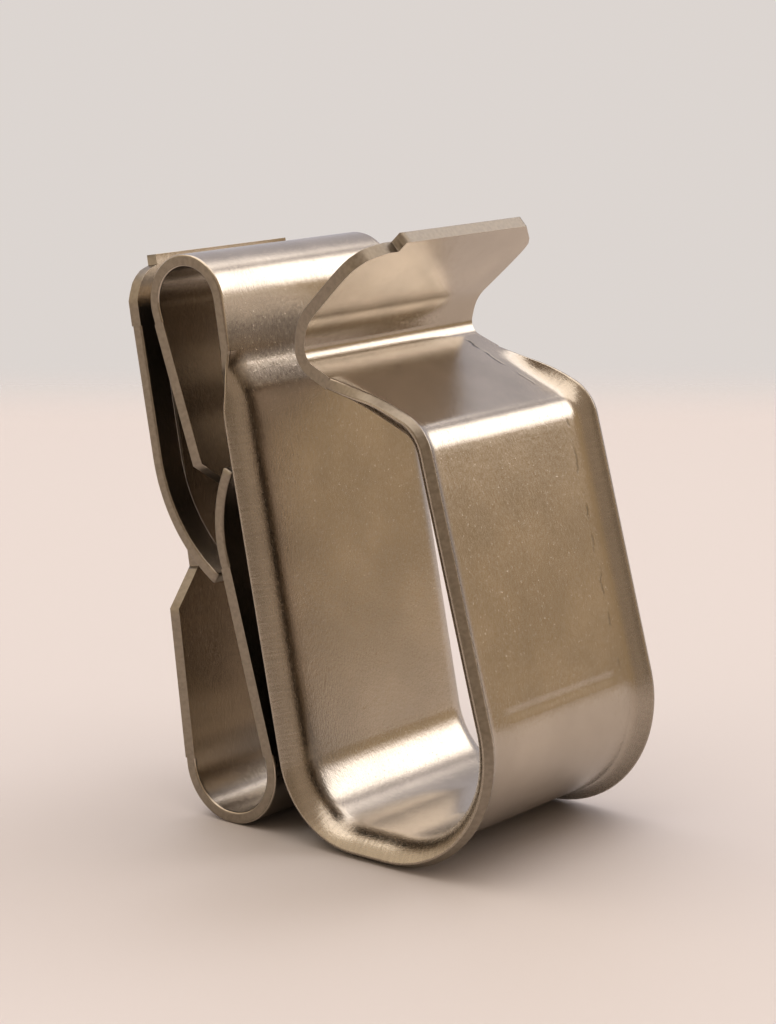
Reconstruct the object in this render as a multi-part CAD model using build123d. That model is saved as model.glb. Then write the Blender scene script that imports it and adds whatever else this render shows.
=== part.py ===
"""Cable clip for the flange of an equipment frame, formed from one stainless steel strip.

The strip starts at a lead-in lip, bends down round an open cable cradle, rises as the back
wall, turns over a top loop and comes down as the spring leg of a second, smaller U.  The far
leg of that U is the frame plate, with two hanging barbs that bite on the frame's flange.

X runs from the frame plate to the cable jaw, Y across the strip and Z up.  The clip stands on
the floor Z = 0 on its lower bend and on the flared edges of its cradle.  Sizes are in mm.
"""

import os
from math import cos, radians, sin, tan

from build123d import *

os.makedirs("parts", exist_ok=True)

# ------------------------------------------------------------------ sheet and widths
THICK = 0.5  # thickness of the sheet
CLIP_W = 10.8  # width of the frame-clip half of the strip
NECK_W = 8.0  # width left between the side slits, at the neck and the tongue
SLIT = 0.15  # width of each side slit
FLAT_W = 8.8  # flat width of the cradle, between its flared edges
FLARE = 1.42  # sheet in each flared edge, measured along its centre line
FLARE_END = 1.0  # the same where the flare has faded out, at the lip and under the top loop
FLARE_ANGLE = 60  # turn of a flared edge, outwards
FLARE_R = FLARE / radians(FLARE_ANGLE)
LIP_W = 11.2  # widest part of the lip
WAIST_W = 10.6  # narrowest part of the lip, at the valley
TIP_W = 7.2  # tab at the lip's tip
BARB_POINT = 0.3  # blunt width at the point of a barb

# ------------------------------------------------------------------ heights above the floor
FLOOR_GAP = FLARE_R - (FLARE_R - THICK / 2) * cos(radians(FLARE_ANGLE))  # the edge stands on it
CREST_Z = 22.72  # centre line of the top loop's crest
TIP_Z = 24.3  # top of the lip
NICK_Z = 23.78  # nick where the tab leaves the lip, on the near side
PLATE_TOP_Z = 22.65  # top edge of the tongue
SHOULDER_Z = 22.2  # where the barbs' shoulders leave the tongue
SHOULDER_END_Z = 20.9  # where the shoulders reach the full width
BARB_ROOT_Z = 19.9  # top of the slits beside the tongue
FOOT_Z = 8.5  # end of the full-width part of the frame plate
FOOT_NECK_Z = 10.0  # end of its tapered corners
NECK_TOP_Z = 14.6  # end of the full-width part of the loop leg
NECK_FULL_Z = 13.6  # end of its tapered corners
NECK_END_Z = 12.2  # where the neck runs into the spring leg
EAR_ROOT_Z = 10.6  # foot of the slits beside the neck
EAR_TIP_Z = 14.6
BARB_TIP_Z = 10.05
BARB_CUT = 0.9  # height of the slanted cut across a barb's tip

# ------------------------------------------------------------------ bend radii, centre line
LIP_R = 1.8
VALLEY_R = 0.9
FRONT_R = 1.2
CRADLE_FRONT_R = 4.2
CRADLE_BACK_R = 3.15
JOG_R = 2.5
LOOP_R = 1.69
NECK_R = 6.0
KNEE_R = 12.0
LOWER_R = 2.14
EAR_R = 5.0
BARB_R = 6.8

# ------------------------------------------------------------------ straight runs
# Each run passes through (x, z), with a lean in degrees from the vertical towards -X.
LIP_TOP = (3.77, 21.02, -46.8)
LIP_FOOT = (3.27, 19.23, -10.0)
TOP_FACE = (3.27, 19.23, 67.4)
FRONT_WALL = (13.6, 0.0, 15.4)
CRADLE_FLOOR = (8.0, FLOOR_GAP, 90.0)
BACK_WALL = (3.80, 0.0, 11.5)
JOG = (0.22, 17.6, 23.1)
LOOP_SIDE = (-0.36, 18.95, 9.9)
CREST = (-2.3, CREST_Z, 90.0)
SPRING_LEG = (2.56, 0.0, 16.1)
LOOP_LEG = (-2.0, 14.73, 19.8)
LOWER_FLOOR = (0.0, THICK / 2, 90.0)
PLATE_FOOT = (-2.31, 0.0, 6.8)
PLATE = (-3.43, 9.5, 9.4)
EAR_TIP = (-0.35, EAR_TIP_Z, -22.8)
BARB_ROOT_LEAN = 10.5
BARB_END = (-1.02, BARB_TIP_Z, 56.6)


def heading(run):
    """Direction of a run, pointing up, or towards -X on a level run."""
    return -sin(radians(run[2])), cos(radians(run[2]))


def meet(run, other):
    """Corner where two runs cross, on the strip's centre line."""
    (ux, uz), (vx, vz) = heading(run), heading(other)
    along = ((other[0] - run[0]) * vz - (other[1] - run[1]) * vx) / (ux * vz - uz * vx)
    return Vector(run[0] + ux * along, 0, run[1] + uz * along)


def at_height(run, z):
    """Point of a run at a height."""
    return Vector(run[0] - tan(radians(run[2])) * (z - run[1]), 0, z)


def towards(start, goal, distance):
    """Point at a distance from one corner towards another."""
    return start + (goal - start).normalized() * distance


# ------------------------------------------------------------------ corners, lip to tongue
LIP_BEND = meet(LIP_TOP, LIP_FOOT)
VALLEY = meet(LIP_FOOT, TOP_FACE)
FRONT_BEND = meet(TOP_FACE, FRONT_WALL)
CRADLE_FRONT = meet(FRONT_WALL, CRADLE_FLOOR)
CRADLE_BACK = meet(CRADLE_FLOOR, BACK_WALL)
JOG_LOW = meet(BACK_WALL, JOG)
JOG_HIGH = meet(JOG, LOOP_SIDE)
LOOP_RIGHT = meet(LOOP_SIDE, CREST)
LOOP_LEFT = meet(CREST, LOOP_LEG)
NECK_BEND = meet(LOOP_LEG, SPRING_LEG)
LOWER_RIGHT = meet(SPRING_LEG, LOWER_FLOOR)
LOWER_LEFT = meet(LOWER_FLOOR, PLATE_FOOT)
KNEE = meet(PLATE_FOOT, PLATE)

# ------------------------------------------------------------------ ends of the zones
TIP = at_height(LIP_TOP, TIP_Z + THICK)
FLARE_START = towards(VALLEY, FRONT_BEND, 1.7)
FLARE_FULL = towards(FRONT_BEND, VALLEY, 0.9)
WALL_FOOT = towards(CRADLE_FRONT, FRONT_BEND, 5.8)
BACK_FOOT = towards(CRADLE_BACK, JOG_LOW, 3.0)
FADE_START = at_height(BACK_WALL, 16.6)
FADE_END = at_height(LOOP_SIDE, 19.3)
LOOP_FOOT = at_height(LOOP_LEG, 20.1)
NECK_END = at_height(LOOP_LEG, NECK_END_Z)
LEG_FOOT = towards(LOWER_RIGHT, NECK_BEND, 3.1)
PLATE_START = towards(LOWER_LEFT, KNEE, 2.1)
PLATE_TOP = at_height(PLATE, PLATE_TOP_Z)


def side_path(points, radii):
    """Centre line of one zone, with its bends rounded."""
    return FilletPolyline(*points, radius=radii) if radii else Line(*points)


def across(path, position=0.0):
    """Plane square to a path: its x axis runs across the strip, its y axis outwards."""
    return Plane(origin=path @ position, x_dir=(0, 1, 0), z_dir=path % position)


def strip(points, radii, width, offset=0.0):
    """Plain strip of one width along a centre line."""
    path = side_path(points, radii)
    section = across(path) * Pos(offset, 0) * Rectangle(width, THICK)
    return sweep(section, path=path)


def flared_section(angle, flare=FLARE):
    """Cross-section whose two edges are turned outwards by an angle."""
    turn = radians(angle)
    radius = flare / turn

    def rim(side, offset, share):
        reach = radius + offset
        return (side * (FLAT_W / 2 + reach * sin(turn * share)), radius - reach * cos(turn * share))

    half = THICK / 2
    inner_right = ThreePointArc(*[rim(1, half, share) for share in (0, 0.5, 1)])
    end_right = Line(rim(1, half, 1), rim(1, -half, 1))
    outer_right = ThreePointArc(*[rim(1, -half, share) for share in (1, 0.5, 0)])
    outer_flat = Line(rim(1, -half, 0), rim(-1, -half, 0))
    outer_left = ThreePointArc(*[rim(-1, -half, share) for share in (0, 0.5, 1)])
    end_left = Line(rim(-1, -half, 1), rim(-1, half, 1))
    inner_left = ThreePointArc(*[rim(-1, half, share) for share in (1, 0.5, 0)])
    inner_flat = Line(rim(-1, half, 0), rim(1, half, 0))
    edges = [inner_right, end_right, outer_right, outer_flat]
    edges += [outer_left, end_left, inner_left, inner_flat]
    return make_face(edges)


def flared_strip(points, radii):
    """Cradle zone with both edges fully flared."""
    path = side_path(points, radii)
    return sweep(across(path) * flared_section(FLARE_ANGLE), path=path)


def flare_run_out(points, radii, angles, flares):
    """Zone where the flared edges grow or fade, at even steps along the centre line."""
    path = side_path(points, radii)
    sections = []
    for step, angle in enumerate(angles):
        share = step / (len(angles) - 1)
        flare = flares[0] + (flares[1] - flares[0]) * share
        sections.append(across(path, share) * flared_section(angle, flare))
    return loft(sections)


def keep(points):
    """Cutter that keeps what is inside a flat outline, seen along X."""
    face = make_face(Polyline(*points, close=True))
    return extrude(Plane.YZ * face, amount=20, both=True)


def outline(points):
    """Cutter that keeps a symmetric outline, given as half widths and heights up one side."""
    return keep(points + [(-half, z) for half, z in reversed(points)])


def lip_outline():
    """Outline of the lip: a waist at the valley, wide wings and a tab at the tip.

    The tip was cut off the strip unevenly, so the tab has a nick on the near side and a slanted
    shoulder on the far side.
    """
    wing, waist, tab = LIP_W / 2, WAIST_W / 2, TIP_W / 2
    foot, shoulder = (5.5, VALLEY.Z - 2), (5.5, 23.25)
    wing_side = Spline(foot, (waist, VALLEY.Z), (5.4, 20.6), (wing, 22.5), shoulder)
    corner = Spline(shoulder, (5.0, 23.6), (tab + 0.35, NICK_Z))
    nick = ThreePointArc((tab + 0.35, NICK_Z), (tab + 0.16, NICK_Z - 0.25), (tab, NICK_Z))
    middle = [(0, TIP_Z), (0, foot[1]), foot]
    tab_side = Polyline((tab, NICK_Z), (tab, TIP_Z), *middle)
    slant = Polyline(shoulder, (5.2, 23.5), (tab + 0.15, TIP_Z), *middle)
    near = extrude(Plane.YZ * make_face([wing_side, corner, nick, tab_side]), amount=20, both=True)
    far = extrude(Plane.YZ * make_face([wing_side, slant]), amount=20, both=True)
    return far + mirror(near, about=Plane.XZ)


def cable_lip():
    blank = strip([TIP, LIP_BEND, VALLEY, FLARE_START], [LIP_R, VALLEY_R], LIP_W)
    return blank & lip_outline()


def cradle_top():
    angles = [2, 30, 54, FLARE_ANGLE]
    return flare_run_out([FLARE_START, FLARE_FULL], [], angles, (FLARE_END, FLARE))


def front_wall():
    return flared_strip([FLARE_FULL, FRONT_BEND, WALL_FOOT], [FRONT_R])


def cradle_bend():
    corners = [WALL_FOOT, CRADLE_FRONT, CRADLE_BACK, BACK_FOOT]
    return flared_strip(corners, [CRADLE_FRONT_R, CRADLE_BACK_R])


def back_wall():
    wall = flared_strip([BACK_FOOT, FADE_START], [])
    jog = [FADE_START, JOG_LOW, JOG_HIGH, FADE_END]
    fade = flare_run_out(jog, [JOG_R, JOG_R], [FLARE_ANGLE, 58, 38, 2], (FLARE, FLARE_END))
    return wall + fade


def top_loop():
    return strip([FADE_END, LOOP_RIGHT, LOOP_LEFT, LOOP_FOOT], [LOOP_R, LOOP_R], CLIP_W)


def loop_leg():
    blank = strip([LOOP_FOOT, NECK_END], [], CLIP_W)
    corners = [(NECK_W / 2, 10), (NECK_W / 2, NECK_FULL_Z), (CLIP_W / 2, NECK_TOP_Z)]
    return blank & outline(corners + [(CLIP_W / 2, 22)])


def spring_leg():
    blank = strip([NECK_END, NECK_BEND, LEG_FOOT], [NECK_R], CLIP_W)
    corners = [(CLIP_W / 2, 0), (CLIP_W / 2, EAR_ROOT_Z), (NECK_W / 2, EAR_ROOT_Z)]
    return blank & outline(corners + [(NECK_W / 2, 14)])


def side_strip(points, radii, side):
    """Narrow strip beside a slit, at one side of the clip."""
    inner = NECK_W / 2 + SLIT
    width = CLIP_W / 2 - inner
    return strip(points, radii, width, side * (inner + width / 2))


def ear(side):
    foot = at_height(LOOP_LEG, EAR_ROOT_Z - THICK)
    blank = side_strip([foot, meet(LOOP_LEG, EAR_TIP), at_height(EAR_TIP, EAR_TIP_Z)], [EAR_R], side)
    return blank & outline([(CLIP_W, EAR_ROOT_Z), (CLIP_W, CREST_Z)])


def lower_bend():
    return strip([LEG_FOOT, LOWER_RIGHT, LOWER_LEFT, PLATE_START], [LOWER_R, LOWER_R], CLIP_W)


def frame_plate():
    blank = strip([PLATE_START, KNEE, PLATE_TOP], [KNEE_R], CLIP_W)
    tongue, full = NECK_W / 2, CLIP_W / 2
    corners = [(full, 0), (full, FOOT_Z), (tongue, FOOT_NECK_Z), (tongue, BARB_ROOT_Z)]
    corners += [(full, BARB_ROOT_Z), (full, SHOULDER_END_Z), (5.05, 21.6), (tongue + 0.5, 22.05)]
    corners += [(tongue, SHOULDER_Z), (tongue, PLATE_TOP_Z)]
    return blank & outline(corners)


def barb(side):
    """Barb hanging beside the tongue, cut to a point at its outer corner."""
    root = at_height(PLATE, BARB_ROOT_Z)
    root_run = (root.X, root.Z, BARB_ROOT_LEAN)
    above = at_height(root_run, BARB_ROOT_Z + THICK)
    blank = side_strip([above, meet(root_run, BARB_END), at_height(BARB_END, BARB_TIP_Z)], [BARB_R], side)
    inner, outer = side * NECK_W / 2, side * CLIP_W / 2
    point = [(outer, 0), (outer - side * BARB_POINT, BARB_TIP_Z - THICK), (inner, BARB_TIP_Z + BARB_CUT)]
    return blank & keep([(outer, BARB_ROOT_Z), *point, (inner, BARB_ROOT_Z)])


parts = {
    "cable_lip": cable_lip(),
    "cradle_top": cradle_top(),
    "front_wall": front_wall(),
    "cradle_bend": cradle_bend(),
    "back_wall": back_wall(),
    "top_loop": top_loop(),
    "loop_leg": loop_leg(),
    "spring_leg": spring_leg(),
    "ear_near": ear(-1),
    "ear_far": ear(1),
    "lower_bend": lower_bend(),
    "frame_plate": frame_plate(),
    "barb_near": barb(-1),
    "barb_far": barb(1),
}

box = Compound(children=[Part(p.wrapped) for p in parts.values()]).bounding_box()
CENTRE = Vector((box.min.X + box.max.X) / 2, 0, box.min.Z)
for name, solid in parts.items():
    export_step(Pos(-CENTRE) * solid, f"parts/{name}.step")
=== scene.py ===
"""Looks of a cable clip bent from one strip of satin stainless steel.

Every zone of the strip is one sheet-metal mesh.  A zone is laid out on the flat sheet, with u
across the strip and v along its centre line in millimetres, and is then bent to shape round
the same runs, bends and flared edges as the CAD model.  Zones that hold a joint are baked in
place and are not attached to either body.
"""

from math import atan2, cos, pi, radians, sin, tan

import bmesh
import bpy
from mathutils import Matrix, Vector


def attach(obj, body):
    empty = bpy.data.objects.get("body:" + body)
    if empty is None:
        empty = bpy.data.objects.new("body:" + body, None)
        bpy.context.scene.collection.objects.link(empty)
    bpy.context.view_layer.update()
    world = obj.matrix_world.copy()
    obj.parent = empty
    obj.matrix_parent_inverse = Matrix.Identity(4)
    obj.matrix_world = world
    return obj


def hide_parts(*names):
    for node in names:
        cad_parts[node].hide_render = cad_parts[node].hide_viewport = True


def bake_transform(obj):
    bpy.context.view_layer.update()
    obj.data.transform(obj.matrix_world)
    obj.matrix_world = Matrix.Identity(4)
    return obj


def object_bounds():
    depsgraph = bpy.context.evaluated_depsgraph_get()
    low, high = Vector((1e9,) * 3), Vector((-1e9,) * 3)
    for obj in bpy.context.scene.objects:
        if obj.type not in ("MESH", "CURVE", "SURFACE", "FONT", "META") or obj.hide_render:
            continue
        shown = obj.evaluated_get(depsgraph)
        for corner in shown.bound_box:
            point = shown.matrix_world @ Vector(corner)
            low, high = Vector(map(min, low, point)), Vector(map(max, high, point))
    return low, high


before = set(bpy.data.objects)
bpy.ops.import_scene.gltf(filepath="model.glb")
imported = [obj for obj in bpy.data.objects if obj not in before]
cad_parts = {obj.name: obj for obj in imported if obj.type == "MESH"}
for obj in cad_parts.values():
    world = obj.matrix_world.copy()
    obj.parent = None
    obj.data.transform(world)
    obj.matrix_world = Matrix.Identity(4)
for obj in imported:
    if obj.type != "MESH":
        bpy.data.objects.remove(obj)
CAD_LOW, CAD_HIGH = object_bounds()

MM = 0.001

# ------------------------------------------------------------------ the strip, in millimetres
THICK = 0.5
HALF = THICK / 2
CLIP_HALF = 5.4
NECK_HALF = 4.0
SLIT = 0.15
FLAT_HALF = 4.4
FLARE = 1.42
FLARE_END = 1.0
FLARE_TURN = radians(60)
FLARE_R = FLARE / FLARE_TURN
LIP_HALF = 5.6
WAIST_HALF = 5.3
TAB_HALF = 3.6
EDGE_ROUND = 0.11

FLOOR_GAP = FLARE_R - (FLARE_R - HALF) * cos(FLARE_TURN)
CREST_Z = 22.72
TIP_Z = 24.3
PLATE_TOP_Z = 22.65
SHOULDER_Z = 22.2
SHOULDER_END_Z = 20.9
BARB_ROOT_Z = 19.9
FOOT_Z = 8.5
FOOT_NECK_Z = 10.0
NECK_TOP_Z = 14.6
NECK_FULL_Z = 13.6
NECK_END_Z = 12.2
EAR_ROOT_Z = 10.6
EAR_TIP_Z = 14.6
BARB_TIP_Z = 10.05
BARB_CUT = 0.9
BARB_POINT = 0.3
NICK_Z = 23.76
LIP_SHOULDER_Z = 23.25
SLANT_Z = 23.5

LIP_R = 1.8
VALLEY_R = 0.9
FRONT_R = 1.2
CRADLE_FRONT_R = 4.2
CRADLE_BACK_R = 3.15
JOG_R = 2.5
LOOP_R = 1.69
NECK_R = 6.0
LOWER_R = 2.14
KNEE_R = 12.0
EAR_R = 5.0
BARB_R = 6.8

# Each straight run passes through (x, z), with a lean in degrees from the vertical towards -X.
LIP_TOP = (3.77, 21.02, -46.8)
LIP_FOOT = (3.27, 19.23, -10.0)
TOP_FACE = (3.27, 19.23, 67.4)
FRONT_WALL = (13.6, 0.0, 15.4)
CRADLE_FLOOR = (8.0, FLOOR_GAP, 90.0)
BACK_WALL = (3.80, 0.0, 11.5)
JOG = (0.22, 17.6, 23.1)
LOOP_SIDE = (-0.36, 18.95, 9.9)
CREST = (-2.3, CREST_Z, 90.0)
SPRING_LEG = (2.56, 0.0, 16.1)
LOOP_LEG = (-2.0, 14.73, 19.8)
LOWER_FLOOR = (0.0, HALF, 90.0)
PLATE_FOOT = (-2.31, 0.0, 6.8)
PLATE = (-3.43, 9.5, 9.4)
EAR_TIP = (-0.35, EAR_TIP_Z, -22.8)
BARB_ROOT_LEAN = 10.5
BARB_END = (-1.02, BARB_TIP_Z, 56.6)


def heading(run):
    return Vector((-sin(radians(run[2])), cos(radians(run[2]))))


def meet(run, other):
    """Corner where two runs cross, as (x, z)."""
    a, b = heading(run), heading(other)
    along = ((other[0] - run[0]) * b.y - (other[1] - run[1]) * b.x) / (a.x * b.y - a.y * b.x)
    return Vector(run[:2]) + a * along


def at_height(run, z):
    return Vector((run[0] - tan(radians(run[2])) * (z - run[1]), z))


def towards(start, goal, distance):
    return start + (goal - start).normalized() * distance


class CentreLine:
    """Straight runs joined by round bends, by length along them."""

    def __init__(self, corners, radii):
        self.pieces = []
        self.length = 0.0
        start = corners[0]
        for i, corner in enumerate(corners[1:], 1):
            run = (corner - corners[i - 1]).normalized()
            angle = atan2(run.y, run.x)
            if i == len(corners) - 1:
                self.add(start, angle, 0.0, (corner - start).length)
                break
            after = (corners[i + 1] - corner).normalized()
            turn = atan2(run.x * after.y - run.y * after.x, run.dot(after))
            radius = radii[i - 1]
            cut = radius * tan(abs(turn) / 2)
            self.add(start, angle, 0.0, (corner - run * cut - start).length)
            curve = (1 if turn > 0 else -1) / radius
            self.add(corner - run * cut, angle, curve, radius * abs(turn))
            start = corner + after * cut

    def add(self, start, angle, curve, length):
        self.pieces.append((self.length, start, angle, curve, length))
        self.length += length

    def at(self, v):
        """Point and direction at a length along the line."""
        piece = [p for p in self.pieces if p[0] <= v + 1e-9][-1] if v > 0 else self.pieces[0]
        begin, start, angle, curve, _ = piece
        d = v - begin
        if curve == 0:
            return start + Vector((cos(angle), sin(angle))) * d, angle
        turned = angle + curve * d
        step = Vector((sin(turned) - sin(angle), cos(angle) - cos(turned))) / curve
        return start + step, turned

    def find(self, point):
        """Length at which the line passes nearest to a point."""
        step = 0.01
        count = int(self.length / step)
        best = min(range(count + 1), key=lambda i: (self.at(i * step)[0] - point).length_squared)
        return best * step

    def level(self, z, v_from, v_to):
        """Length between two others at which the line is at a height."""
        rising = self.at(v_to)[0].y > self.at(v_from)[0].y
        for _ in range(50):
            middle = (v_from + v_to) / 2
            if (self.at(middle)[0].y < z) == rising:
                v_from = middle
            else:
                v_to = middle
        return (v_from + v_to) / 2

    def stations(self, v_from, v_to, breaks=()):
        """Rows of a mesh between two lengths: close together in bends, and one at each break."""
        marks = {v_from, v_to}
        marks.update(b for b in breaks if v_from < b < v_to)
        marks.update(p[0] for p in self.pieces if v_from + 0.01 < p[0] < v_to - 0.01)
        marks = sorted(marks)
        rows = [marks[0]]
        for a, b in zip(marks, marks[1:]):
            curved = [p for p in self.pieces if p[0] <= (a + b) / 2][-1][3] != 0
            count = max(1, round((b - a) / (0.12 if curved else 0.3)))
            rows += [a + (b - a) * (i + 1) / count for i in range(count)]
        return rows


# ------------------------------------------------------------------ corners and zone ends
LIP_BEND = meet(LIP_TOP, LIP_FOOT)
VALLEY = meet(LIP_FOOT, TOP_FACE)
FRONT_BEND = meet(TOP_FACE, FRONT_WALL)
CRADLE_FRONT = meet(FRONT_WALL, CRADLE_FLOOR)
CRADLE_BACK = meet(CRADLE_FLOOR, BACK_WALL)
JOG_LOW = meet(BACK_WALL, JOG)
JOG_HIGH = meet(JOG, LOOP_SIDE)
LOOP_RIGHT = meet(LOOP_SIDE, CREST)
LOOP_LEFT = meet(CREST, LOOP_LEG)
NECK_BEND = meet(LOOP_LEG, SPRING_LEG)
LOWER_RIGHT = meet(SPRING_LEG, LOWER_FLOOR)
LOWER_LEFT = meet(LOWER_FLOOR, PLATE_FOOT)
KNEE = meet(PLATE_FOOT, PLATE)

# The tip's upper corner is trimmed at TIP_Z, so the centre line stops just under it.
TIP = at_height(LIP_TOP, TIP_Z - HALF * sin(radians(-LIP_TOP[2])))
PLATE_TOP = at_height(PLATE, PLATE_TOP_Z - HALF * sin(radians(PLATE[2])))

STRIP = CentreLine(
    [TIP, LIP_BEND, VALLEY, FRONT_BEND, CRADLE_FRONT, CRADLE_BACK, JOG_LOW, JOG_HIGH]
    + [LOOP_RIGHT, LOOP_LEFT, NECK_BEND, LOWER_RIGHT, LOWER_LEFT, KNEE, PLATE_TOP],
    [LIP_R, VALLEY_R, FRONT_R, CRADLE_FRONT_R, CRADLE_BACK_R, JOG_R, JOG_R]
    + [LOOP_R, LOOP_R, NECK_R, LOWER_R, LOWER_R, KNEE_R],
)

FLARE_START = STRIP.find(towards(VALLEY, FRONT_BEND, 1.7))
FLARE_FULL = STRIP.find(towards(FRONT_BEND, VALLEY, 0.9))
WALL_FOOT = STRIP.find(towards(CRADLE_FRONT, FRONT_BEND, 5.8))
BACK_FOOT = STRIP.find(towards(CRADLE_BACK, JOG_LOW, 3.0))
FADE_START = STRIP.find(at_height(BACK_WALL, 16.6))
FADE_END = STRIP.find(at_height(LOOP_SIDE, 19.3))
LOOP_FOOT = STRIP.find(at_height(LOOP_LEG, 20.1))
NECK_END = STRIP.find(at_height(LOOP_LEG, NECK_END_Z))
EAR_ROOT = STRIP.find(at_height(LOOP_LEG, EAR_ROOT_Z))
LEG_FOOT = STRIP.find(towards(LOWER_RIGHT, NECK_BEND, 3.1))
PLATE_START = STRIP.find(towards(LOWER_LEFT, KNEE, 2.1))
PLATE_END = STRIP.length
BARB_ROOT = STRIP.level(BARB_ROOT_Z, PLATE_START, PLATE_END)


# ------------------------------------------------------------------ outline of the flat sheet
def smooth(x, low, high):
    """Soft step from 0 at low to 1 at high."""
    t = min(1.0, max(0.0, (x - low) / (high - low)))
    return t * t * (3 - 2 * t)


def through(points, x):
    """Smooth curve through a few points (x, y), evaluated at x."""
    xs = [p[0] for p in points]
    if x <= xs[0]:
        return points[0][1]
    if x >= xs[-1]:
        return points[-1][1]
    i = max(j for j in range(len(xs) - 1) if xs[j] <= x)

    def slope(j):
        a, b = points[max(j - 1, 0)], points[min(j + 1, len(points) - 1)]
        return (b[1] - a[1]) / (b[0] - a[0])

    (x0, y0), (x1, y1) = points[i], points[i + 1]
    h = x1 - x0
    t = (x - x0) / h
    start = (2 * t**3 - 3 * t**2 + 1) * y0 + (t**3 - 2 * t**2 + t) * h * slope(i)
    end = (3 * t**2 - 2 * t**3) * y1 + (t**3 - t**2) * h * slope(i + 1)
    return start + end


# Outlines as (height, half width).
LIP_SIDE = [(18.5, CLIP_HALF), (VALLEY.y, WAIST_HALF), (20.6, 5.4), (22.5, LIP_HALF)]
LIP_SIDE += [(LIP_SHOULDER_Z, 5.5), (23.6, 5.0), (23.78, 3.95)]
LIP_FAR_SHOULDER = [(LIP_SHOULDER_Z, 5.5), (SLANT_Z, 5.2), (TIP_Z, 3.75)]
SHOULDER = [(SHOULDER_END_Z, CLIP_HALF), (21.6, 5.05), (22.05, 4.5), (SHOULDER_Z, NECK_HALF)]
NICK_TOP = STRIP.level(NICK_Z, 0, STRIP.find(LIP_BEND))


def lip_half(v, side):
    """Half widths of the lip: its tip is nicked on the near side and slanted on the far side."""
    z = STRIP.at(v)[0].y
    on_tab = v < NICK_TOP or (v <= NICK_TOP + 1e-6 and side < 0)
    near = TAB_HALF if on_tab else through(LIP_SIDE, z)
    if z <= LIP_SHOULDER_Z:
        return near, through(LIP_SIDE, z)
    low, high = LIP_FAR_SHOULDER[:2] if z < SLANT_Z else LIP_FAR_SHOULDER[1:]
    return near, low[1] + (high[1] - low[1]) * (z - low[0]) / (high[0] - low[0])


def top_half(v, side):
    return CLIP_HALF + (FLAT_HALF + FLARE - CLIP_HALF) * smooth(v, FLARE_START, FLARE_FULL)


def cradle_half(v, side):
    return FLAT_HALF + FLARE


def fade_half(v, side):
    return FLAT_HALF + FLARE + (FLARE_END - FLARE) * smooth(v, FADE_START, FADE_END)


def clip_half(v, side):
    return CLIP_HALF


def taper(z, z_full, z_neck):
    share = min(1.0, max(0.0, (z - z_full) / (z_neck - z_full)))
    return CLIP_HALF + (NECK_HALF - CLIP_HALF) * share


def loop_leg_half(v, side):
    return taper(STRIP.at(v)[0].y, NECK_TOP_Z, NECK_FULL_Z)


def spring_leg_half(v, side):
    neck = v < EAR_ROOT - 1e-6 or (v < EAR_ROOT + 1e-6 and side < 0)
    return NECK_HALF if neck else CLIP_HALF


def plate_half(v, side):
    z = STRIP.at(v)[0].y
    if v < BARB_ROOT - 1e-6 or (v < BARB_ROOT + 1e-6 and side < 0):
        return taper(z, FOOT_Z, FOOT_NECK_Z)
    return through(SHOULDER, z)


def flare_angle(v):
    """How far the strip's edges are turned outwards."""
    rise = [(FLARE_START, 0), (FLARE_START + 1.2, 0.5), (FLARE_START + 2.4, 0.9), (FLARE_FULL + 0.5, 1)]
    fall = [(FADE_START, 1), (FADE_START + 0.9, 0.97), (FADE_START + 1.8, 0.63), (FADE_END, 0)]
    return FLARE_TURN * through(rise, v) * through(fall, v)


# ------------------------------------------------------------------ bending the sheet to shape
def bent(line, u, v, n, flared):
    """Point of the part for a point of the flat sheet, n from the sheet's middle surface."""
    centre, angle = line.at(v)
    out = Vector((-sin(angle), cos(angle)))
    turn = flare_angle(v) if flared else 0.0
    if turn < 0.02 or abs(u) <= FLAT_HALF:
        across, lift = u, n
    else:
        radius = (top_half(v, 1) if v < WALL_FOOT else fade_half(v, 1)) - FLAT_HALF
        radius /= turn
        share = (abs(u) - FLAT_HALF) / radius
        across = (FLAT_HALF + (radius - n) * sin(share)) * (1 if u > 0 else -1)
        lift = radius - (radius - n) * cos(share)
    place = centre + out * lift
    return Vector((place.x, across, place.y))


PIECES = []


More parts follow.
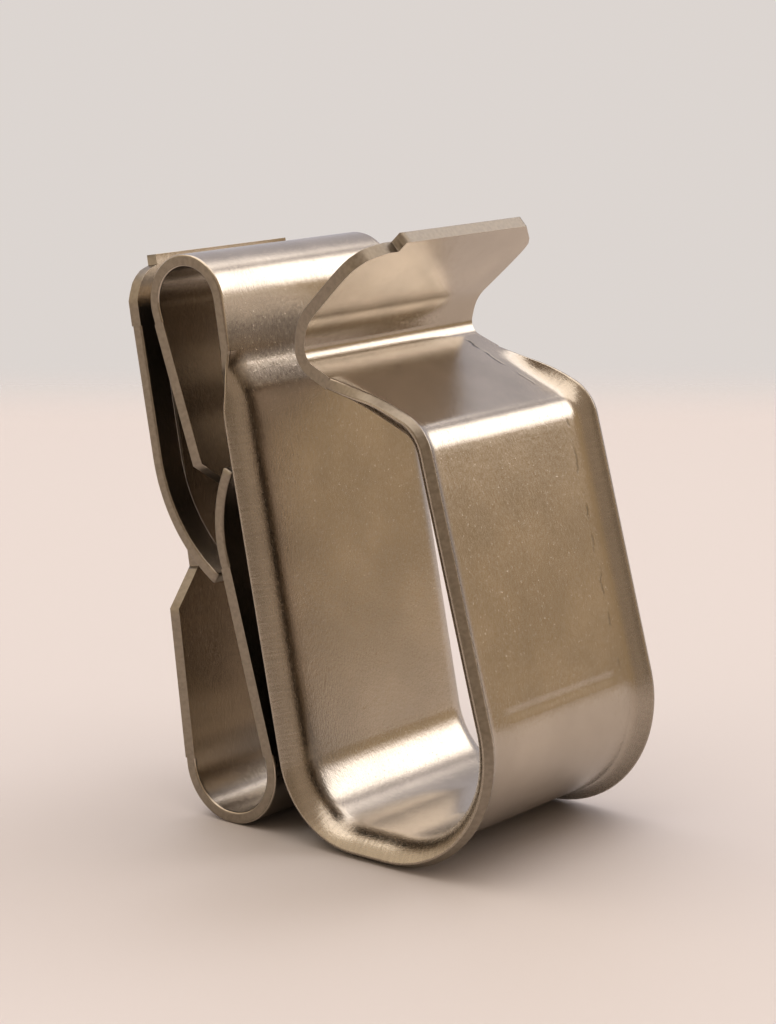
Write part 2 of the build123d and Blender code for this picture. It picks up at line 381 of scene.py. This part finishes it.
def sheet_piece(name, line, bands, seam, flared=False, shift=0.0):
    """Mesh of one zone.  Each band is (v, columns, next v, next columns), with columns of u.

    The textures follow the place on the flat sheet, which shift moves along v.
    """
    bm = bmesh.new()
    sheet_layer = bm.verts.layers.float_vector.new("sheet")
    points = {}

    def corner(u, v, n):
        key = (round(u, 4), round(v, 4), n)
        if key not in points:
            vert = bm.verts.new(bent(line, u, v, n, flared))
            vert[sheet_layer] = (u, v + shift, n)
            points[key] = vert
        return points[key]

    ends = {}
    for v_a, us_a, v_b, us_b in bands:
        for k in range(len(us_a) - 1):
            ring = [(us_a[k], v_a), (us_a[k + 1], v_a), (us_b[k + 1], v_b), (us_b[k], v_b)]
            ring = [p for i, p in enumerate(ring) if (Vector(p) - Vector(ring[i - 1])).length > 1e-3]
            if len(ring) < 3:
                continue
            bm.faces.new([corner(u, v, HALF) for u, v in ring])
            bm.faces.new([corner(u, v, -HALF) for u, v in reversed(ring)])
            for p, q in zip(ring, ring[1:] + ring[:1]):
                p, q = (round(p[0], 4), round(p[1], 4)), (round(q[0], 4), round(q[1], 4))
                if (q, p) in ends:
                    del ends[(q, p)]
                else:
                    ends[(p, q)] = True

    weight = bm.edges.layers.float.new("bevel_weight_edge")
    for p, q in ends:
        wall = bm.faces.new([corner(*q, HALF), corner(*p, HALF), corner(*p, -HALF), corner(*q, -HALF)])
        joined = seam((p[1] + q[1]) / 2, (p[0] + q[0]) / 2) and abs(p[1] - q[1]) < 1e-3
        wall.material_index = 0 if joined else 1
        for edge in wall.edges:
            across = abs(edge.verts[0][sheet_layer][2] - edge.verts[1][sheet_layer][2]) > HALF
            if joined:
                edge.smooth = False
            elif not across:
                edge[weight] = 1.0
    for face in bm.faces:
        face.smooth = True
    bmesh.ops.recalc_face_normals(bm, faces=bm.faces)
    mesh = bpy.data.meshes.new(name)
    bm.to_mesh(mesh)
    bm.free()
    piece = bpy.data.objects.new(name, mesh)
    bpy.context.scene.collection.objects.link(piece)
    PIECES.append(piece)
    return piece


def columns(halves, inner, count_in=10, count_out=9):
    """Columns of u across the strip: fixed ones to the inner width, then some to each edge."""
    near = [inner * i / count_in for i in range(count_in + 1)]
    far = list(near)
    for edge, half in zip((near, far), halves):
        if half > inner + 1e-4:
            edge += [inner + (half - inner) * (i + 1) / count_out for i in range(count_out)]
    return [-u for u in reversed(near[1:])] + far


def both_sides(width):
    """Half widths at the near and the far side, from one width or from a pair."""
    return width if isinstance(width, tuple) else (width, width)


def strip_piece(name, v_from, v_to, half, inner, seam, breaks=(), flared=False):
    """One zone of the main strip, between two lengths along its centre line."""
    rows = STRIP.stations(v_from, v_to, breaks)
    bands = []
    for a, b in zip(rows, rows[1:]):
        ends = both_sides(half(a, 1)), both_sides(half(b, -1))
        least = [inner + (2e-4 if max(pair) > inner + 1e-4 else 0) for pair in zip(*ends)]
        us_a, us_b = [columns([max(w, low) for w, low in zip(end, least)], inner) for end in ends]
        bands.append((a, us_a, b, us_b))
    return sheet_piece(name, STRIP, bands, seam, flared)


def at_ends(*ends):
    """Says which rows are seams with the next zone."""
    return lambda v, u: any(abs(v - end) < 2e-3 for end in ends)


# ------------------------------------------------------------------ the zones
def cable_lip():
    heights = (23.7, 23.6, SLANT_Z, LIP_SHOULDER_Z)
    breaks = [NICK_TOP] + [STRIP.level(z, 0, NICK_TOP + 2) for z in heights]

    def half(v, side):
        return lip_half(v, side) if v < FLARE_START else top_half(FLARE_START, 1)

    return strip_piece("cable_lip", 0.0, FLARE_START, half, TAB_HALF, at_ends(FLARE_START), breaks)


def cradle_top():
    seam = at_ends(FLARE_START, FLARE_FULL)
    return strip_piece("cradle_top", FLARE_START, FLARE_FULL, top_half, FLAT_HALF, seam, flared=True)


def front_wall():
    seam = at_ends(FLARE_FULL, WALL_FOOT)
    return strip_piece("front_wall", FLARE_FULL, WALL_FOOT, cradle_half, FLAT_HALF, seam, flared=True)


def cradle_bend():
    seam = at_ends(WALL_FOOT, BACK_FOOT)
    return strip_piece("cradle_bend", WALL_FOOT, BACK_FOOT, cradle_half, FLAT_HALF, seam, flared=True)


def back_wall():
    seam = at_ends(BACK_FOOT, FADE_END)
    rows = [FADE_START + 0.15 * i for i in range(1, 20)]
    return strip_piece("back_wall", BACK_FOOT, FADE_END, fade_half, FLAT_HALF, seam, rows, flared=True)


def top_loop():
    return strip_piece("top_loop", FADE_END, LOOP_FOOT, clip_half, FLAT_HALF, at_ends(FADE_END, LOOP_FOOT))


def loop_leg():
    tapered = [STRIP.level(z, LOOP_FOOT, NECK_END) for z in (NECK_TOP_Z, NECK_FULL_Z)]
    seam = at_ends(LOOP_FOOT, NECK_END)
    return strip_piece("loop_leg", LOOP_FOOT, NECK_END, loop_leg_half, NECK_HALF, seam, tapered)


def spring_leg():
    def seam(v, u):
        at_ear = abs(v - EAR_ROOT) < 2e-3 and abs(u) > NECK_HALF + SLIT
        return at_ear or at_ends(NECK_END, LEG_FOOT)(v, u)

    return strip_piece("spring_leg", NECK_END, LEG_FOOT, spring_leg_half, NECK_HALF, seam, [EAR_ROOT])


def lower_bend():
    seam = at_ends(LEG_FOOT, PLATE_START)
    return strip_piece("lower_bend", LEG_FOOT, PLATE_START, clip_half, NECK_HALF, seam)


def frame_plate():
    heights = (FOOT_Z, FOOT_NECK_Z, SHOULDER_END_Z, 21.2, 21.6, 21.85, 22.05, 22.14, SHOULDER_Z)
    breaks = [STRIP.level(z, PLATE_START, PLATE_END) for z in heights] + [BARB_ROOT]

    def seam(v, u):
        at_barb = abs(v - BARB_ROOT) < 2e-3 and abs(u) > NECK_HALF + SLIT
        return at_barb or at_ends(PLATE_START)(v, u)

    return strip_piece("frame_plate", PLATE_START, PLATE_END, plate_half, NECK_HALF, seam, breaks)


def side_piece(name, corners, radius, side, inner):
    """Narrow strip beside a slit, whose inner edge is given along its length."""
    line = CentreLine(corners, [radius])
    rows = line.stations(0, line.length, [line.length - 0.2 * i for i in range(1, 8)])
    count = 6

    def across(v):
        start = inner(line, v)
        return [side * (start + (CLIP_HALF - start) * i / count) for i in range(count + 1)]

    bands = [(a, across(a), b, across(b)) for a, b in zip(rows, rows[1:])]
    return sheet_piece(name, line, bands, at_ends(0.0), shift=-30.0)


def ear(name, side):
    corners = [STRIP.at(EAR_ROOT)[0], meet(LOOP_LEG, EAR_TIP), at_height(EAR_TIP, EAR_TIP_Z)]
    return side_piece(name, corners, EAR_R, side, lambda line, v: NECK_HALF + SLIT)


def barb(name, side):
    root = at_height(PLATE, BARB_ROOT_Z)
    root_run = (root.x, root.y, BARB_ROOT_LEAN)
    corners = [root, meet(root_run, BARB_END), at_height(BARB_END, BARB_TIP_Z)]

    def inner(line, v):
        z = line.at(v)[0].y
        cut = (BARB_TIP_Z + BARB_CUT - z) / (BARB_CUT + THICK)
        reach = NECK_HALF + (CLIP_HALF - BARB_POINT - NECK_HALF) * cut
        return max(NECK_HALF + SLIT, reach)

    return side_piece(name, corners, BARB_R, side, inner)


BODY_PIECES = {
    "jaw": [cable_lip(), cradle_top(), front_wall()],
    "cradle_back": [back_wall()],
    "hook": [loop_leg(), spring_leg(), ear("ear_near", -1), ear("ear_far", 1)],
    "plate": [frame_plate()],
}
CRADLE_BEND = cradle_bend()
TOP_LOOP = top_loop()
LOWER_BEND = lower_bend()
BARBS = {"near_barb": barb("barb_near", -1), "far_barb": barb("barb_far", 1)}


def to_part_frame():
    """Puts the pieces, laid out in profile millimetres, where the CAD part stands, in metres."""
    xs = [vert.co.x for piece in PIECES for vert in piece.data.vertices]
    shift = (CAD_LOW.x + CAD_HIGH.x) / 2 / MM - (min(xs) + max(xs)) / 2
    for piece in PIECES:
        for vert in piece.data.vertices:
            vert.co = Vector((vert.co.x + shift, vert.co.y, vert.co.z)) * MM
    return shift


SHIFT = to_part_frame()


def in_part(x, z):
    """Point of the part's mid plane for a point of the profile."""
    return Vector((x + SHIFT, 0, z)) * MM


# ------------------------------------------------------------------ materials
class Nodes:
    """Short ways to add shader nodes whose inputs are sockets or plain numbers."""

    def __init__(self, material):
        material.use_nodes = True
        self.tree = material.node_tree
        self.shader = self.tree.nodes["Principled BSDF"]

    def feed(self, socket, source):
        if isinstance(source, bpy.types.NodeSocket):
            self.tree.links.new(source, socket)
        else:
            socket.default_value = source

    def math(self, operation, *sources):
        node = self.tree.nodes.new("ShaderNodeMath")
        node.operation = operation
        for socket, source in zip(node.inputs, sources):
            self.feed(socket, source)
        return node.outputs["Value"]

    def step(self, source, low, high, to=(0.0, 1.0)):
        """Soft step over a range, or a falling one when low is above high."""
        node = self.tree.nodes.new("ShaderNodeMapRange")
        node.interpolation_type = "SMOOTHSTEP"
        for name, value in zip(("From Min", "From Max", "To Min", "To Max"), (low, high, *to)):
            node.inputs[name].default_value = value
        self.feed(node.inputs["Value"], source)
        return node.outputs["Result"]

    def noise(self, place, scale, detail, stretch=(1, 1, 1)):
        mapping = self.tree.nodes.new("ShaderNodeMapping")
        mapping.inputs["Scale"].default_value = stretch
        self.feed(mapping.inputs["Vector"], place)
        texture = self.tree.nodes.new("ShaderNodeTexNoise")
        texture.inputs["Scale"].default_value = scale
        texture.inputs["Detail"].default_value = detail
        self.feed(texture.inputs["Vector"], mapping.outputs["Vector"])
        return texture.outputs["Fac"]

    def mix(self, factor, one, other):
        node = self.tree.nodes.new("ShaderNodeMix")
        node.data_type = "RGBA"
        for i, source in ((0, factor), (6, one), (7, other)):
            self.feed(node.inputs[i], source)
        return node.outputs[2]

    def bump(self, height, distance):
        node = self.tree.nodes.new("ShaderNodeBump")
        node.inputs["Strength"].default_value = 1.0
        node.inputs["Distance"].default_value = distance
        self.feed(node.inputs["Height"], height)
        self.feed(self.shader.inputs["Normal"], node.outputs["Normal"])

    def look(self, **sources):
        for name, source in sources.items():
            self.feed(self.shader.inputs[name.replace("_", " ")], source)


def shade(colour, scale):
    return tuple(c * scale for c in colour) + (1,)


def on_sheet(nodes):
    """Place on the flat sheet, as (u, v, n) in millimetres."""
    sheet = nodes.tree.nodes.new("ShaderNodeAttribute")
    sheet.attribute_name = "sheet"
    return sheet.outputs["Vector"]


def satin_steel(colour, roughness):
    """Rolled stainless sheet: fine grain along v, faint stains, and marks where it was formed."""
    material = bpy.data.materials.new("satin_steel")
    nodes = Nodes(material)
    sheet = on_sheet(nodes)
    parts = nodes.tree.nodes.new("ShaderNodeSeparateXYZ")
    nodes.feed(parts.inputs["Vector"], sheet)
    u, v, n = (parts.outputs[axis] for axis in "XYZ")
    outside = nodes.math("GREATER_THAN", n, 0.0)
    below_lip, below_loop = nodes.step(v, FLARE_START, FLARE_FULL), nodes.step(v, FADE_END, FADE_START)
    on_cradle = nodes.math("MULTIPLY", below_lip, below_loop)
    grain = nodes.noise(sheet, 9.0, 5.0, (2.2, 0.5, 1))
    peel = nodes.noise(sheet, 6.0, 4.0)
    stains = nodes.noise(sheet, 0.28, 3.0)
    pits = nodes.step(nodes.noise(sheet, 7.5, 1.0), 0.70, 0.76)

    # Stretch marks run across the flared edges.
    on_flare = nodes.step(nodes.math("ABSOLUTE", u), FLAT_HALF + 0.2, FLAT_HALF + 0.8)
    ripples = nodes.noise(sheet, 4.5, 3.0, (0.25, 1.6, 1))
    stretched = nodes.math("MULTIPLY", nodes.math("MULTIPLY", on_flare, on_cradle), ripples)

    # The flaring tool left broken dark marks along the outside crease of one side.
    wobble = nodes.math("MULTIPLY", nodes.noise(sheet, 1.3, 2.0, (0, 1, 0)), 0.6)
    off_line = nodes.math("ABSOLUTE", nodes.math("SUBTRACT", u, nodes.math("ADD", wobble, 3.80)))
    line = nodes.step(off_line, 0.09, 0.03)
    along = nodes.noise(sheet, 0.8, 4.0, (0.3, 1, 0))
    along = nodes.math("ADD", along, nodes.step(v, FLARE_FULL, FLARE_START, (0, 0.08)))
    marks = nodes.math("MULTIPLY", line, nodes.step(along, 0.47, 0.58))
    marks = nodes.math("MULTIPLY", marks, nodes.step(v, FLARE_FULL + 1.0, FLARE_START, (0.35, 1.0)))
    marks = nodes.math("MULTIPLY", marks, nodes.step(v, FLARE_START - 0.9, FLARE_START - 0.6))
    marks = nodes.math("MULTIPLY", marks, nodes.step(v, WALL_FOOT + 1.0, WALL_FOOT - 1.0))
    marks = nodes.math("MULTIPLY", marks, outside)

    # Two faint pressed lines run across the foot of the front wall.
    off_press = nodes.math("ABSOLUTE", nodes.math("SUBTRACT", v, WALL_FOOT + 0.75))
    off_press = nodes.math("ABSOLUTE", nodes.math("SUBTRACT", off_press, 0.65))
    pressed = nodes.math("MULTIPLY", nodes.step(off_press, 0.35, 0.0), outside)
    pressed = nodes.math("MULTIPLY", pressed, nodes.step(nodes.math("ABSOLUTE", u), 3.9, 3.3))

    stained = nodes.mix(nodes.step(stains, 0.3, 0.75), shade(colour, 0.92), shade(colour, 1.06))
    dulled = nodes.mix(nodes.math("MULTIPLY", stretched, 0.5), stained, shade(colour, 0.55))
    marked = nodes.mix(nodes.math("MULTIPLY", marks, 0.75), dulled, shade(colour, 0.18))
    rough = nodes.step(grain, 0.2, 0.8, (roughness - 0.05, roughness + 0.07))
    rough = nodes.math("ADD", rough, nodes.math("MULTIPLY", stretched, 0.12))
    nodes.look(Metallic=1.0, Base_Color=marked, Roughness=rough)

    height = nodes.math("ADD", nodes.math("MULTIPLY", grain, 0.75), nodes.math("MULTIPLY", peel, 0.55))
    height = nodes.math("SUBTRACT", height, nodes.math("MULTIPLY", pits, 0.5))
    height = nodes.math("ADD", height, nodes.math("MULTIPLY", stretched, 0.9))
    height = nodes.math("SUBTRACT", height, nodes.math("MULTIPLY", marks, 2.0))
    height = nodes.math("SUBTRACT", height, nodes.math("MULTIPLY", pressed, 2.4))
    nodes.bump(height, 0.0000065)
    return material


def sheared_steel(colour, roughness):
    """Cut edge of the sheet, rougher than its faces."""
    material = bpy.data.materials.new("sheared_edge")
    nodes = Nodes(material)
    sheet = on_sheet(nodes)
    torn = nodes.noise(sheet, 6.0, 4.0, (1, 1, 0.8))
    coloured = nodes.mix(nodes.step(torn, 0.3, 0.7), shade(colour, 0.9), shade(colour, 1.1))
    rough = nodes.step(torn, 0.2, 0.8, (roughness - 0.08, roughness + 0.08))
    nodes.look(Metallic=1.0, Base_Color=coloured, Roughness=rough)
    nodes.bump(torn, 0.000006)
    return material


SATIN = satin_steel((0.50, 0.445, 0.375), 0.2)
SHEARED = sheared_steel((0.33, 0.29, 0.24), 0.40)

for piece in PIECES:
    piece.data.materials.append(SATIN)
    piece.data.materials.append(SHEARED)
    rounding = piece.modifiers.new("edge_round", "BEVEL")
    rounding.limit_method = "WEIGHT"
    rounding.width = EDGE_ROUND * MM
    rounding.segments = 3
    rounding.harden_normals = True

# ------------------------------------------------------------------ bodies
for body, pieces in BODY_PIECES.items():
    for piece in pieces:
        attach(piece, body)
        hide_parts(piece.name.split(".")[0])

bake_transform(CRADLE_BEND)
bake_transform(TOP_LOOP)
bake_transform(LOWER_BEND)
for body, piece in BARBS.items():
    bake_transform(piece)
for piece in [CRADLE_BEND, TOP_LOOP, LOWER_BEND, *BARBS.values()]:
    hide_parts(piece.name.split(".")[0])


# ------------------------------------------------------------------ floor, light and camera
VIEW_AZIMUTH = radians(38.7)
VIEW_PITCH = radians(11.96)
CAMERA_PLACE = (69.96, -83.01, 35.05)  # millimetres, in the profile's frame
LENS = 94.92
FLOOR_REACH = 0.38  # how far the floor's middle lies in front of the clip, in metres


def plain_floor():
    """Pale floor whose far side fades into the backdrop, square to the camera's azimuth."""
    bpy.ops.mesh.primitive_plane_add(size=1.0)
    floor = bpy.context.object
    floor.name = "floor"
    floor.rotation_euler.z = VIEW_AZIMUTH
    floor.scale = (1.6, 1.0, 1.0)
    floor.location = (FLOOR_REACH * sin(VIEW_AZIMUTH), -FLOOR_REACH * cos(VIEW_AZIMUTH), 0)
    material = bpy.data.materials.new("pale_floor")
    material.use_nodes = True
    tree = material.node_tree
    shader = tree.nodes["Principled BSDF"]
    shader.inputs["Base Color"].default_value = (0.655, 0.615, 0.60, 1)
    shader.inputs["Roughness"].default_value = 0.6
    place = tree.nodes.new("ShaderNodeTexCoord")
    parts = tree.nodes.new("ShaderNodeSeparateXYZ")
    fade = tree.nodes.new("ShaderNodeMapRange")
    fade.interpolation_type = "SMOOTHSTEP"
    fade.inputs["From Min"].default_value = 0.5
    fade.inputs["From Max"].default_value = 0.47
    tree.links.new(place.outputs["Object"], parts.inputs["Vector"])
    tree.links.new(parts.outputs["Y"], fade.inputs["Value"])
    tree.links.new(fade.outputs["Result"], shader.inputs["Alpha"])
    floor.data.materials.append(material)


def soft_light(name, place, aim, size, radiance, colour):
    """Square area light, by the brightness at which it shows in a mirror."""
    light = bpy.data.lights.new(name, "AREA")
    light.shape = "SQUARE"
    light.size = size
    light.energy = radiance * pi * size * size
    light.color = colour
    lamp = bpy.data.objects.new(name, light)
    lamp.location = place
    lamp.rotation_euler = (Vector(aim) - Vector(place)).to_track_quat("-Z", "Y").to_euler()
    bpy.context.scene.collection.objects.link(lamp)


# Bright and dim sides of the room, as (direction, half angles where it is full and gone, colour).
ROOM = (0.60, 0.49, 0.39)
SIDES = [
    ("dim_front", (0.35, -0.94, -0.05), (18, 40), (0.40, 0.32, 0.24)),
    ("lit_wall", (-0.61, -0.56, 0.56), (20, 45), (1.15, 1.0, 0.82)),
    ("cool_wall", (-0.50, 0.80, 0.30), (35, 60), (0.76, 0.74, 0.80)),
    ("warm_wall", (0.78, 0.62, 0.08), (18, 40), (0.66, 0.52, 0.36)),
    ("window", (0.396, 0.79, 0.469), (12, 22), (3.0, 2.94, 3.0)),
]
BACKDROP = (0.765, 0.722, 0.695)


def studio():
    """Dim warm room with a cool wall, a warm wall and a window behind, and a soft light overhead."""
    world = bpy.data.worlds.new("room")
    bpy.context.scene.world = world
    world.use_nodes = True
    tree = world.node_tree
    links = tree.links
    direction = tree.nodes.new("ShaderNodeTexCoord").outputs["Generated"]
    seen = tree.nodes.new("ShaderNodeRGB").outputs[0]
    seen.default_value = (*ROOM, 1)
    for _, way, (full, gone), colour in SIDES:
        facing = tree.nodes.new("ShaderNodeVectorMath")
        facing.operation = "DOT_PRODUCT"
        facing.inputs[1].default_value = Vector(way).normalized()
        links.new(direction, facing.inputs[0])
        edge = tree.nodes.new("ShaderNodeMapRange")
        edge.interpolation_type = "SMOOTHSTEP"
        edge.inputs["From Min"].default_value = cos(radians(gone))
        edge.inputs["From Max"].default_value = cos(radians(full))
        links.new(facing.outputs["Value"], edge.inputs["Value"])
        mix = tree.nodes.new("ShaderNodeMix")
        mix.data_type = "RGBA"
        links.new(edge.outputs["Result"], mix.inputs[0])
        links.new(seen, mix.inputs[6])
        mix.inputs[7].default_value = (*colour, 1)
        seen = mix.outputs[2]
    room = tree.nodes["Background"]
    links.new(seen, room.inputs["Color"])
    backdrop = tree.nodes.new("ShaderNodeBackground")
    backdrop.inputs["Color"].default_value = (*BACKDROP, 1)
    path = tree.nodes.new("ShaderNodeLightPath")
    either = tree.nodes.new("ShaderNodeMixShader")
    links.new(path.outputs["Is Camera Ray"], either.inputs["Fac"])
    links.new(room.outputs["Background"], either.inputs[1])
    links.new(backdrop.outputs["Background"], either.inputs[2])
    links.new(either.outputs["Shader"], tree.nodes["World Output"].inputs["Surface"])
    soft_light("overhead", (-0.03, 0.03, 0.30), (CAD_LOW + CAD_HIGH) / 2, 0.4, 1.45, (1.0, 0.98, 0.97))


def photo_camera():
    """Long lens, looking down a little at the clip from its open side and its cable jaw."""
    data = bpy.data.cameras.new("camera")
    data.sensor_fit = "AUTO"
    data.sensor_width = 36
    data.lens = LENS
    data.clip_start = 0.005
    camera = bpy.data.objects.new("camera", data)
    level = cos(VIEW_PITCH)
    look = Vector((-sin(VIEW_AZIMUTH) * level, cos(VIEW_AZIMUTH) * level, -sin(VIEW_PITCH)))
    camera.rotation_euler = look.to_track_quat("-Z", "Y").to_euler()
    x, y, z = CAMERA_PLACE
    camera.location = in_part(x, z) + Vector((0, y * MM, 0))
    bpy.context.scene.collection.objects.link(camera)
    bpy.context.scene.camera = camera


plain_floor()
studio()
photo_camera()
bpy.context.scene.view_settings.view_transform = "Standard"
bpy.context.scene.view_settings.gamma = 0.8
